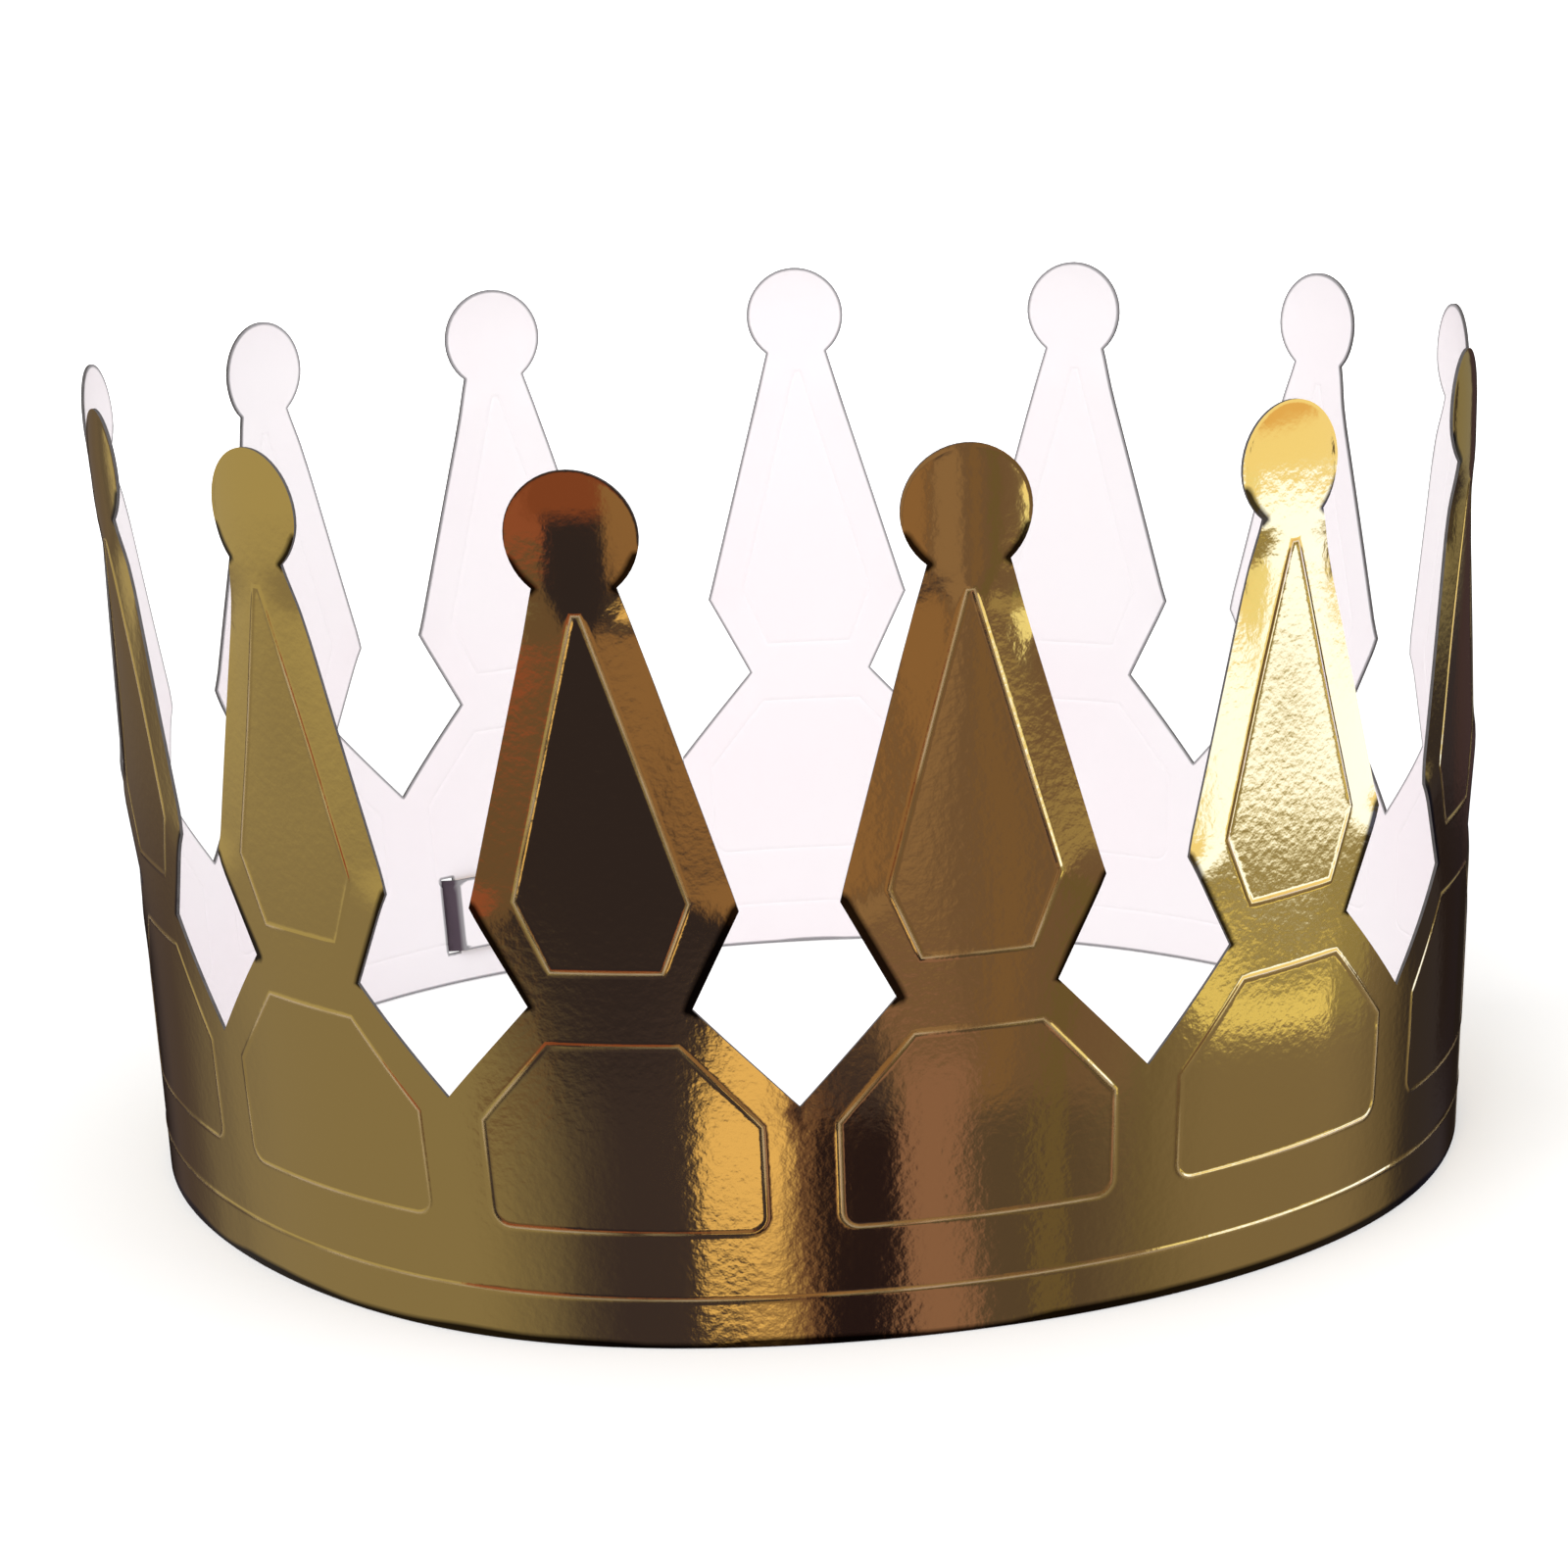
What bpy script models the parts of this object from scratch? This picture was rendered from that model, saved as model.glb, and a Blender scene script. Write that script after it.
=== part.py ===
"""Party crown cut, embossed and bent from one strip of foil-faced card.

The strip is drawn flat first: thirteen points side by side, a lap at one end and a tongue at the other.
It is given the card's thickness, the embossed lines and domes are pressed out of it, and then it is
bent into the ring that it takes on a head, with the tongue passed through its slit.

Metres, +Z up. The crown stands on its lower edge at z = 0 and its front faces -Y.
"""
import math

import bmesh
import bpy
import numpy as np
from mathutils import Vector
from mathutils.geometry import delaunay_2d_cdt

# Card
CARD_THICKNESS = 0.00045
LAYER_GAP = 0.0004

# Outline of one point, from the lower edge up
POINT_COUNT = 13
POINT_PITCH = 0.046
VALLEY_HEIGHT = 0.0349
WAIST_RISE = 0.0142
WAIST_WIDTH = 0.0211
SHOULDER_RISE = 0.0134
SHOULDER_WIDTH = 0.0348
NECK_RISE = 0.0430
NECK_WIDTH = 0.0106
BALL_DIAMETER = 0.0168

# Embossed lines, each a narrow ridge pressed out of the card, and the domed ball
RIDGE_WIDTH = 0.0010
RIDGE_HEIGHT = 0.00025
DOME_HEIGHT = 0.0010
DOME_MARGIN = 0.0003
BAND_LINE_HEIGHT = 0.0072
BAND_LINE_FADE = 0.0040
KITE_SIDE_MARGIN = 0.0062
KITE_TIP_DROP = 0.0035
KITE_TIP_WIDTH = 0.0010
KITE_FOOT_RISE = 0.0050
KITE_FOOT_WIDTH = 0.0145
KITE_SHOULDER_RISE = 0.0012
HOUSE_TOP_DROP = 0.0052
HOUSE_TOP_WIDTH = 0.0168
HOUSE_EAVES_DROP = 0.0026
HOUSE_SIDE_MARGIN = 0.0048
HOUSE_FOOT_RISE = 0.0098
HOUSE_CORNER_RADIUS = 0.0024

# Joint: the lap lies outside the far end of the strip, and the tongue goes out through the slit
JOINT_SPREAD = 0.0056
LAP_LENGTH = 0.0280
LAP_TIP_DROP = 0.0060
LAP_CORNER_RADIUS = 0.0030
TONGUE_WIDTH = 0.0127
TONGUE_FOOT_HEIGHT = 0.0058
TONGUE_TAIL = 0.0100
TONGUE_CORNER_RADIUS = 0.0035
SLIT_OFFSET = 0.0162
SLIT_WIDTH = 0.0022
SLIT_END_CLEARANCE = 0.0004
CROSSING_LENGTH = 0.0024
STEP_START_SHARE = 0.95
STEP_END_SHARE = 0.60

# How the strip is bent: relative tightness at each valley, from the joint round to the joint again
BEND_SHARES = (0.56, 0.95, 1.15, 0.86, 0.68, 1.19, 0.68, 0.84, 1.24, 1.00, 1.22, 0.92, 0.87)
FRONT_HEADING = math.radians(1.5)
FLARE = math.radians(4.1)
FLARE_SIDEWAYS = math.radians(0.9)
FLARE_FRONT_AND_BACK = math.radians(2.5)
# Each point is pushed in or out a little more at its root, from the lap round to the tongue
POINT_LEANS = tuple(math.radians(angle) for angle in
                    (-3.7, -3.0, 1.8, 0.6, -1.6, -1.2, -4.6, -4.2, -1.9, -1.2, -0.2, -2.0, 1.4))
POINT_FLATNESS_SHARE = 0.5

# Fineness of the facets
FACETS_PER_POINT = 8
DOME_RING_SHARES = (0.55, 1.0)
BALL_SIDES = 16
CORNER_STEPS = 2
RING_SAMPLES = 1300
CLOSING_ROUNDS = 6
CLOSING_PROBE = 0.0001

FOIL_COLOR = (0.62, 0.43, 0.13, 1.0)
CARD_COLOR = (0.90, 0.89, 0.88, 1.0)

FACET_WIDTH = POINT_PITCH / FACETS_PER_POINT
WAIST_HEIGHT = VALLEY_HEIGHT + WAIST_RISE
SHOULDER_HEIGHT = WAIST_HEIGHT + SHOULDER_RISE
NECK_HEIGHT = SHOULDER_HEIGHT + NECK_RISE
BALL_RADIUS = BALL_DIAMETER / 2
NECK_ANGLE = math.asin(min(NECK_WIDTH / BALL_DIAMETER, 1.0))
BALL_HEIGHT = NECK_HEIGHT + BALL_RADIUS * math.cos(NECK_ANGLE)
STRIP_LENGTH = POINT_COUNT * POINT_PITCH
RING_GIRTH = STRIP_LENGTH + JOINT_SPREAD
LAYER_STEP = CARD_THICKNESS + RIDGE_HEIGHT + LAYER_GAP
SLIT_PLACE = POINT_PITCH / 2 + SLIT_OFFSET
TONGUE_TOP_HEIGHT = TONGUE_FOOT_HEIGHT + TONGUE_WIDTH
TONGUE_CROSSING = RING_GIRTH + SLIT_PLACE
TONGUE_TIP = TONGUE_CROSSING + TONGUE_TAIL


def arc(centre, radius, start, end, steps):
    """Points on an arc, both ends included, angles in radians from the strip's run."""
    angles = np.linspace(start, end, steps + 1)
    return [(centre[0] + radius * math.cos(a), centre[1] + radius * math.sin(a)) for a in angles]


def point_outline(axis):
    """One point's edge from its left valley over the ball, without its right valley."""
    half_turn = math.pi - NECK_ANGLE
    top = math.pi / 2
    ball = arc((axis, BALL_HEIGHT), BALL_RADIUS, top + half_turn, top - half_turn, BALL_SIDES)
    left = [(axis - POINT_PITCH / 2, VALLEY_HEIGHT),
            (axis - WAIST_WIDTH / 2, WAIST_HEIGHT),
            (axis - SHOULDER_WIDTH / 2, SHOULDER_HEIGHT)]
    right = [(2 * axis - along, height) for along, height in reversed(left[1:])]
    return left + ball + right


def strip_outline():
    """The whole blank's edge as one closed polygon, lap on the left and tongue on the right."""
    lap_top = VALLEY_HEIGHT - LAP_TIP_DROP
    radius = LAP_CORNER_RADIUS
    lap = [(0.0, 0.0)]
    lap += arc((radius - LAP_LENGTH, radius), radius, -math.pi / 2, -math.pi, CORNER_STEPS)
    lap += arc((radius - LAP_LENGTH, lap_top - radius), radius, math.pi, math.pi / 2, CORNER_STEPS)
    points = [spot for index in range(POINT_COUNT) for spot in point_outline(point_axis(index))]
    tip, radius = TONGUE_TIP, TONGUE_CORNER_RADIUS
    tongue = [(STRIP_LENGTH, VALLEY_HEIGHT), (STRIP_LENGTH, TONGUE_TOP_HEIGHT)]
    tongue += arc((tip - radius, TONGUE_TOP_HEIGHT - radius), radius, math.pi / 2, 0.0, CORNER_STEPS)
    tongue += arc((tip - radius, TONGUE_FOOT_HEIGHT + radius), radius, 0.0, -math.pi / 2, CORNER_STEPS)
    tongue += [(STRIP_LENGTH, TONGUE_FOOT_HEIGHT), (STRIP_LENGTH, 0.0)]
    return lap + points + tongue


def slit_outline():
    """The slit in the first point's panel that the tongue goes through."""
    low = TONGUE_FOOT_HEIGHT - SLIT_END_CLEARANCE
    high = TONGUE_TOP_HEIGHT + SLIT_END_CLEARANCE
    left, right = SLIT_PLACE - SLIT_WIDTH / 2, SLIT_PLACE + SLIT_WIDTH / 2
    return [(left, low), (right, low), (right, high), (left, high)]


def point_axis(index):
    return (index + 0.5) * POINT_PITCH


def kite_line():
    """Crest of the kite embossed in a point's spearhead, about the point's axis."""
    side = SHOULDER_WIDTH / 2 - KITE_SIDE_MARGIN
    right = [(KITE_TIP_WIDTH / 2, NECK_HEIGHT - KITE_TIP_DROP),
             (side, SHOULDER_HEIGHT + KITE_SHOULDER_RISE),
             (KITE_FOOT_WIDTH / 2, WAIST_HEIGHT + KITE_FOOT_RISE)]
    return right + [(-along, height) for along, height in reversed(right)]


def house_line():
    """Crest of the panel embossed in the band under a point, with sloping top corners."""
    side = POINT_PITCH / 2 - HOUSE_SIDE_MARGIN
    foot = BAND_LINE_HEIGHT + HOUSE_FOOT_RISE
    radius = HOUSE_CORNER_RADIUS
    right = [(HOUSE_TOP_WIDTH / 2, WAIST_HEIGHT - HOUSE_TOP_DROP), (side, VALLEY_HEIGHT - HOUSE_EAVES_DROP)]
    right += arc((side - radius, foot + radius), radius, 0.0, -math.pi / 2, CORNER_STEPS)
    return right + [(-along, height) for along, height in reversed(right)]


def inset(loop, distance):
    """A closed clockwise loop moved inwards by a distance, with mitred corners."""
    moved = []
    for index, spot in enumerate(loop):
        here = np.array(spot)
        before = here - np.array(loop[index - 1])
        after = np.array(loop[(index + 1) % len(loop)]) - here
        sides = [np.array((edge[1], -edge[0])) / np.linalg.norm(edge) for edge in (before, after)]
        mitre = sides[0] + sides[1]
        moved.append(tuple(here + distance * mitre * 2 / mitre.dot(mitre)))
    return moved


def distance_to_loop(spot, loop):
    """Shortest way from a spot on the blank to a closed line."""
    shortest = math.inf
    for index, start in enumerate(loop):
        run = np.array(start) - np.array(loop[index - 1])
        rest = np.array(spot) - np.array(loop[index - 1])
        along = min(max(rest.dot(run) / run.dot(run), 0.0), 1.0)
        shortest = min(shortest, float(np.linalg.norm(rest - along * run)))
    return shortest


def ridge_height(distance):
    return RIDGE_HEIGHT * max(0.0, 1.0 - 2 * distance / RIDGE_WIDTH)


def emboss_height(along, height):
    """How far the card is pressed out at a spot of the blank."""
    index = min(max(int(along // POINT_PITCH), 0), POINT_COUNT - 1)
    across = along - point_axis(index)
    fade = min(1.0 + along / LAP_LENGTH, (STRIP_LENGTH - along) / BAND_LINE_FADE, 1.0)
    band_line = ridge_height(abs(height - BAND_LINE_HEIGHT)) * max(fade, 0.0)
    if along < 0.0 or along > STRIP_LENGTH:
        return band_line
    from_ball = math.hypot(across, height - BALL_HEIGHT) / (BALL_RADIUS - DOME_MARGIN)
    dome = DOME_HEIGHT * max(0.0, 1.0 - from_ball ** 2)
    panels = [distance_to_loop((across, height), line) for line in (KITE_LINE, HOUSE_LINE)]
    return max(band_line, dome, ridge_height(min(panels)))


def crease_lines():
    """Lines that the facets follow: ridges, domes, and upright lines for the bend."""
    closed, opened = [], []
    half_ridge = RIDGE_WIDTH / 2
    for index in range(POINT_COUNT):
        axis = point_axis(index)
        for crest in (KITE_LINE, HOUSE_LINE):
            for distance in (-half_ridge, 0.0, half_ridge):
                closed.append([(axis + along, height) for along, height in inset(crest, distance)])
        for share in DOME_RING_SHARES:
            radius = share * (BALL_RADIUS - DOME_MARGIN)
            closed.append(arc((axis, BALL_HEIGHT), radius, 0.0, 2 * math.pi, BALL_SIDES)[:-1])
        opened.append([(axis, 0.0), (axis, BALL_HEIGHT)])
        for facet, top in enumerate((WAIST_HEIGHT, SHOULDER_HEIGHT, VALLEY_HEIGHT), 1):
            for place in (axis - facet * FACET_WIDTH, axis + facet * FACET_WIDTH):
                opened.append([(place, 0.0), (place, top)])
        if index:
            opened.append([(axis - POINT_PITCH / 2, 0.0), (axis - POINT_PITCH / 2, VALLEY_HEIGHT)])
        opened.append([(axis + side * SHOULDER_WIDTH / 2, SHOULDER_HEIGHT) for side in (-1, 1)])
    for distance in (-half_ridge, 0.0, half_ridge):
        height = BAND_LINE_HEIGHT + distance
        opened.append([(-LAP_LENGTH, height), (STRIP_LENGTH, height)])
    lap_steps = max(2, round(LAP_LENGTH / FACET_WIDTH))
    for place in np.linspace(-LAP_LENGTH, 0.0, lap_steps + 1)[1:]:
        opened.append([(place, 0.0), (place, VALLEY_HEIGHT)])
    tongue_ends = (STRIP_LENGTH, TONGUE_CROSSING - CROSSING_LENGTH / 2)
    tongue_steps = max(2, round((tongue_ends[1] - tongue_ends[0]) / FACET_WIDTH))
    places = list(np.linspace(*tongue_ends, tongue_steps + 1))
    places.append(TONGUE_CROSSING + CROSSING_LENGTH / 2)
    places.append((places[-1] + TONGUE_TIP) / 2)
    for place in places:
        opened.append([(place, TONGUE_FOOT_HEIGHT), (place, TONGUE_TOP_HEIGHT)])
    return closed, opened


def inside(spot, loop):
    """Whether a spot lies inside a closed line, by counting crossings."""
    crossings = 0
    for index, end in enumerate(loop):
        start = loop[index - 1]
        if (start[1] > spot[1]) != (end[1] > spot[1]):
            reach = start[0] + (spot[1] - start[1]) * (end[0] - start[0]) / (end[1] - start[1])
            crossings += spot[0] < reach
    return crossings % 2 == 1


def flat_blank():
    """Triangles of the blank on its flat sheet: along the strip is X, up the crown is Y."""
    outline, slit = strip_outline(), slit_outline()
    closed, opened = crease_lines()
    spots, edges = [], []
    for loop in [outline, slit] + closed:
        first = len(spots)
        spots += loop
        edges += [(first + step, first + (step + 1) % len(loop)) for step in range(len(loop))]
    for line in opened:
        edges.append((len(spots), len(spots) + 1))
        spots += line
    found = delaunay_2d_cdt([Vector(spot) for spot in spots], edges, [], 0, WELD_DISTANCE)
    places, triangles = found[0], found[2]
    kept = []
    for triangle in triangles:
        middle = sum((places[corner] for corner in triangle), Vector((0.0, 0.0))) / len(triangle)
        if inside(middle, outline) and not inside(middle, slit):
            kept.append(triangle)
    return places, kept


def smooth_step(value):
    value = min(max(value, 0.0), 1.0)
    return value * value * (3 - 2 * value)


def ring_line():
    """Centre line of the closed ring: place along it, heading, x and y."""
    along = np.linspace(0.0, RING_GIRTH, RING_SAMPLES + 1)
    step = RING_GIRTH / RING_SAMPLES
    shares = np.array(BEND_SHARES + BEND_SHARES[:1])
    station = along / RING_GIRTH * len(BEND_SHARES)
    below = np.minimum(station.astype(int), len(BEND_SHARES) - 1)
    blend = 0.5 - 0.5 * np.cos(math.pi * (station - below))
    tightness = shares[below] * (1 - blend) + shares[below + 1] * blend
    turn = 2 * math.pi * along / RING_GIRTH

    def trace(mend):
        change = mend[0] + mend[1] * np.cos(turn) + mend[2] * np.sin(turn)
        bend = 2 * math.pi / RING_GIRTH * (tightness + change)
        heading = np.concatenate(([0.0], np.cumsum((bend[1:] + bend[:-1]) / 2 * step)))
        middle = (heading[1:] + heading[:-1]) / 2
        x = np.concatenate(([0.0], np.cumsum(np.cos(middle) * step)))
        y = np.concatenate(([0.0], np.cumsum(np.sin(middle) * step)))
        miss = np.array((heading[-1] - 2 * math.pi, x[-1] / RING_GIRTH, y[-1] / RING_GIRTH))
        return heading, x, y, miss

    # The ends are brought together by the smallest even and one-sided change of bend
    mend = np.zeros(3)
    for _ in range(CLOSING_ROUNDS):
        miss = trace(mend)[3]
        slopes = [(trace(mend + CLOSING_PROBE * axis)[3] - miss) / CLOSING_PROBE for axis in np.eye(3)]
        mend = mend - np.linalg.solve(np.stack(slopes, 1), miss)
    heading, x, y, _ = trace(mend)
    front = np.interp(FRONT_PLACE, along, heading)
    swing = FRONT_HEADING - front
    turned_x = x * math.cos(swing) - y * math.sin(swing)
    turned_y = x * math.sin(swing) + y * math.cos(swing)
    return along, heading + swing, turned_x, turned_y


def ring_spot(along):
    """Place on the ring's centre line with the unit vectors along and out of it."""
    place = along % RING_GIRTH
    heading = np.interp(place, RING[0], RING[1])
    spot = np.array((np.interp(place, RING[0], RING[2]), np.interp(place, RING[0], RING[3])))
    run = np.array((math.cos(heading), math.sin(heading)))
    return spot, run, np.array((run[1], -run[0]))


def band_lean(along):
    turn = 2 * math.pi * (along - FRONT_PLACE) / RING_GIRTH
    return FLARE + FLARE_SIDEWAYS * math.sin(turn) + FLARE_FRONT_AND_BACK * math.cos(2 * turn)


def layer_offset(along):
    """The tongue end runs inside the lap and the first panel, then crosses out through the slit."""
    start = STRIP_LENGTH - STEP_START_SHARE * POINT_PITCH
    end = STRIP_LENGTH - STEP_END_SHARE * POINT_PITCH
    crossing = smooth_step((along - TONGUE_CROSSING) / CROSSING_LENGTH + 0.5)
    return LAYER_STEP * (2 * crossing - smooth_step((along - start) / (end - start)))


def bend(along, lift, height):
    """Carry a spot of the embossed blank to its place on the standing crown."""
    spot, run, out = ring_spot(along)
    lean = band_lean(along)
    low = min(height, VALLEY_HEIGHT)
    reach = math.sin(lean) * low
    level = math.cos(lean) * low
    above = height - VALLEY_HEIGHT
    if above > 0.0:
        index = min(max(int(along // POINT_PITCH), 0), POINT_COUNT - 1)
        axis = point_axis(index)
        axis_spot, axis_run, axis_out = ring_spot(axis)
        stiff = POINT_FLATNESS_SHARE * smooth_step(above / (SHOULDER_HEIGHT - VALLEY_HEIGHT))
        spot = spot * (1 - stiff) + (axis_spot + axis_run * (along - axis)) * stiff
        out = out * (1 - stiff) + axis_out * stiff
        out = out / np.linalg.norm(out)
        point_lean = band_lean(axis) + POINT_LEANS[index % len(POINT_LEANS)]
        spot = spot + axis_out * math.sin(point_lean) * above
        level += math.cos(point_lean) * above
    spot = spot + out * (reach + lift + layer_offset(along))
    return Vector((spot[0], spot[1], level))


def make_material(name, color, roughness, metallic):
    material = bpy.data.materials.new(name)
    material.use_nodes = True
    shader = material.node_tree.nodes["Principled BSDF"]
    shader.inputs["Base Color"].default_value = color
    shader.inputs["Roughness"].default_value = roughness
    shader.inputs["Metallic"].default_value = metallic
    material.diffuse_color = color
    return material


def make_crown():
    """Cut, thicken, emboss and bend the strip into the crown."""
    mesh = bpy.data.meshes.new("crown_strip")
    mesh.materials.append(make_material("gold_foil", FOIL_COLOR, 0.25, 1.0))
    mesh.materials.append(make_material("white_card", CARD_COLOR, 0.6, 0.0))
    strip = bmesh.new()
    places, triangles = flat_blank()
    spots = {}
    for corner in sorted({corner for triangle in triangles for corner in triangle}):
        place = places[corner]
        spots[corner] = strip.verts.new((place.x, CARD_THICKNESS / 2, place.y))
    for triangle in triangles:
        strip.faces.new([spots[corner] for corner in reversed(triangle)])
    foil_side = list(strip.faces)
    grown = bmesh.ops.extrude_face_region(strip, geom=foil_side, use_keep_orig=True)["geom"]
    card_side = [vert for vert in grown if isinstance(vert, bmesh.types.BMVert)]
    bmesh.ops.translate(strip, vec=(0.0, -CARD_THICKNESS, 0.0), verts=card_side)
    for face in strip.faces:
        face.material_index = 0 if all(vert.co.y > 0.0 for vert in face.verts) else 1
    for vert in strip.verts:
        along, depth, height = vert.co
        vert.co = bend(along, depth + emboss_height(along, height), height)
    bmesh.ops.recalc_face_normals(strip, faces=strip.faces)
    low = [min(vert.co[axis] for vert in strip.verts) for axis in range(2)]
    high = [max(vert.co[axis] for vert in strip.verts) for axis in range(2)]
    centre = Vector(((low[0] + high[0]) / 2, (low[1] + high[1]) / 2, 0.0))
    bmesh.ops.translate(strip, vec=-centre, verts=strip.verts)
    strip.to_mesh(mesh)
    strip.free()
    crown = bpy.data.objects.new("crown_strip", mesh)
    bpy.context.scene.collection.objects.link(crown)
    return crown


WELD_DISTANCE = RIDGE_HEIGHT / 1000
FRONT_PLACE = POINT_COUNT // 2 * POINT_PITCH
KITE_LINE = kite_line()
HOUSE_LINE = house_line()
RING = ring_line()

for leftover in list(bpy.data.objects):
    bpy.data.objects.remove(leftover)
make_crown()
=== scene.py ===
"""Party crown of gold foil card, standing on a pale floor in soft studio light."""

import math

import bpy
import numpy as np
from mathutils import Matrix, Vector
from mathutils.geometry import delaunay_2d_cdt


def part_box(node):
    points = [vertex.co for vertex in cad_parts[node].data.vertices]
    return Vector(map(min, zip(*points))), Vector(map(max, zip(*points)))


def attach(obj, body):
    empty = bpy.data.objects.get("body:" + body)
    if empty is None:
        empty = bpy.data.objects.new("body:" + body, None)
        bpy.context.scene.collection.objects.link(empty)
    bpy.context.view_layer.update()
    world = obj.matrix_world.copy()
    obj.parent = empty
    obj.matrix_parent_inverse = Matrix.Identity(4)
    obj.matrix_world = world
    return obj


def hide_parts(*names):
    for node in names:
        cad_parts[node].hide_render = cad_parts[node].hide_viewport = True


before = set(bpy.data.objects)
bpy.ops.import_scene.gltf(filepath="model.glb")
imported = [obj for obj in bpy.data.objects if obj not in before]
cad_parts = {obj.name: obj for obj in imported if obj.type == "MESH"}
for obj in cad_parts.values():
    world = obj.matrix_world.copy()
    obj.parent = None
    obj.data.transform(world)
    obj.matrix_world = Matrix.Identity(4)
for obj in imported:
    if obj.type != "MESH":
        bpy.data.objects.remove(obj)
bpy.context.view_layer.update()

# The flat blank
# The crown is die-cut from one sheet of foil-faced card. Thirteen equal points stand side by side
# on a band. Between two press plates the card takes a kite, a house-shaped panel, a domed ball and
# one long line near the lower edge.
CARD_THICKNESS = 0.00045
POINT_COUNT = 13
POINT_PITCH = 0.046
VALLEY_HEIGHT = 0.0349
WAIST_HEIGHT = VALLEY_HEIGHT + 0.0142
WAIST_WIDTH = 0.0211
SHOULDER_HEIGHT = WAIST_HEIGHT + 0.0134
SHOULDER_WIDTH = 0.0348
NECK_HEIGHT = SHOULDER_HEIGHT + 0.0430
NECK_WIDTH = 0.0106
BALL_RADIUS = 0.0084
NECK_ANGLE = math.asin(NECK_WIDTH / 2 / BALL_RADIUS)
BALL_HEIGHT = NECK_HEIGHT + BALL_RADIUS * math.cos(NECK_ANGLE)
STRIP_LENGTH = POINT_COUNT * POINT_PITCH

# What the press adds: lines, a dome that runs out softly down the spear, and borders that fall back
RIDGE_WIDTH = 0.0010
RIDGE_HEIGHT = 0.0001
CREST_WIDTH = 0.0005
GUARD_WIDTH = 0.0003
DOME_HEIGHT = 0.0008
DOME_RADIUS = BALL_RADIUS - 0.0003
DOME_TAIL = 0.042
BAND_LINE_HEIGHT = 0.0072
BORDER_SLOPE = 0.09
BORDER_FADE = 0.0070
KITE_HALF_WIDTH = SHOULDER_WIDTH / 2 - 0.0062
KITE = [(0.0005, NECK_HEIGHT - 0.0035), (KITE_HALF_WIDTH, SHOULDER_HEIGHT + 0.0012),
        (0.00725, WAIST_HEIGHT + 0.0050)]
HOUSE_HALF_WIDTH = POINT_PITCH / 2 - 0.0048
HOUSE = [(0.0084, WAIST_HEIGHT - 0.0052), (HOUSE_HALF_WIDTH, VALLEY_HEIGHT - 0.0026)]
HOUSE_FOOT = BAND_LINE_HEIGHT + 0.0098
HOUSE_CORNER = 0.0024

# How fine the facets are
MESH_STEP = 0.0017
GRID_CLEARANCE = MESH_STEP * 0.6
RIDGE_LINES = 7
BALL_STEPS = 40
HOUSE_CORNER_STEPS = 6
DOME_LOOP_SHARES = (0.15, 0.32, 0.49, 0.66, 0.83, 0.97, 1.0)
DOME_LOOP_FINENESS = 1.4
RIM_WIDTH = 0.0006
WELD = 1e-6


def arc(centre, radius, start, end, steps):
    """Points on an arc, both ends included."""
    turn = np.linspace(start, end, steps + 1)
    return [(centre[0] + radius * math.cos(a), centre[1] + radius * math.sin(a)) for a in turn]


def mirrored(right_side):
    """A closed clockwise loop from its right half, given from the top down."""
    return right_side + [(-along, height) for along, height in reversed(right_side)]


def stepped(line, closed=False):
    """The same line with a corner at least every mesh step."""
    ends = line[1:] + line[:1] if closed else line[1:]
    spots = []
    for start, end in zip(line, ends):
        count = max(1, math.ceil(math.dist(start, end) / MESH_STEP))
        spots += [tuple(np.array(start) + (np.array(end) - np.array(start)) * step / count)
                  for step in range(count)]
    return spots if closed else spots + [line[-1]]


def inset(loop, distance):
    """A closed clockwise loop moved inwards, with mitred corners."""
    moved = []
    for index, spot in enumerate(loop):
        before = np.array(spot) - np.array(loop[index - 1])
        after = np.array(loop[(index + 1) % len(loop)]) - np.array(spot)
        sides = [np.array((edge[1], -edge[0])) / np.linalg.norm(edge) for edge in (before, after)]
        mitre = sides[0] + sides[1]
        moved.append(tuple(np.array(spot) + distance * mitre * 2 / mitre.dot(mitre)))
    return moved


def away(spots, line, closed=True):
    """Shortest way from each spot to a line."""
    line = np.array(line)
    starts, ends = (line, np.roll(line, -1, 0)) if closed else (line[:-1], line[1:])
    nearest = np.full(len(spots), np.inf)
    for start, end in zip(starts, ends):
        run = end - start
        share = np.clip((spots - start) @ run / max(run @ run, 1e-18), 0, 1)
        nearest = np.minimum(nearest, np.linalg.norm(spots - start - share[:, None] * run, axis=1))
    return nearest


def within(spots, loop):
    """Which spots lie inside a closed line, by counting crossings."""
    crossed = np.zeros(len(spots), int)
    for index, end in enumerate(loop):
        start = loop[index - 1]
        if start[1] == end[1]:
            continue
        spans = (start[1] > spots[:, 1]) != (end[1] > spots[:, 1])
        reach = start[0] + (spots[:, 1] - start[1]) * (end[0] - start[0]) / (end[1] - start[1])
        crossed += spans & (spots[:, 0] < reach)
    return crossed % 2 == 1


KITE_LOOP = mirrored(KITE)
HOUSE_LOOP = mirrored(HOUSE + arc((HOUSE_HALF_WIDTH - HOUSE_CORNER, HOUSE_FOOT + HOUSE_CORNER),
                                  HOUSE_CORNER, 0, -math.pi / 2, HOUSE_CORNER_STEPS))
RIDGE_SIDES = np.linspace(-RIDGE_WIDTH / 2, RIDGE_WIDTH / 2, RIDGE_LINES)
RIDGE_SIDES = np.array([RIDGE_SIDES[0] - GUARD_WIDTH, *RIDGE_SIDES, RIDGE_SIDES[-1] + GUARD_WIDTH])


def smooth(value):
    """Eases a share, kept from 0 to 1, at both ends."""
    value = np.clip(value, 0, 1)
    return value * value * (3 - 2 * value)


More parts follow.
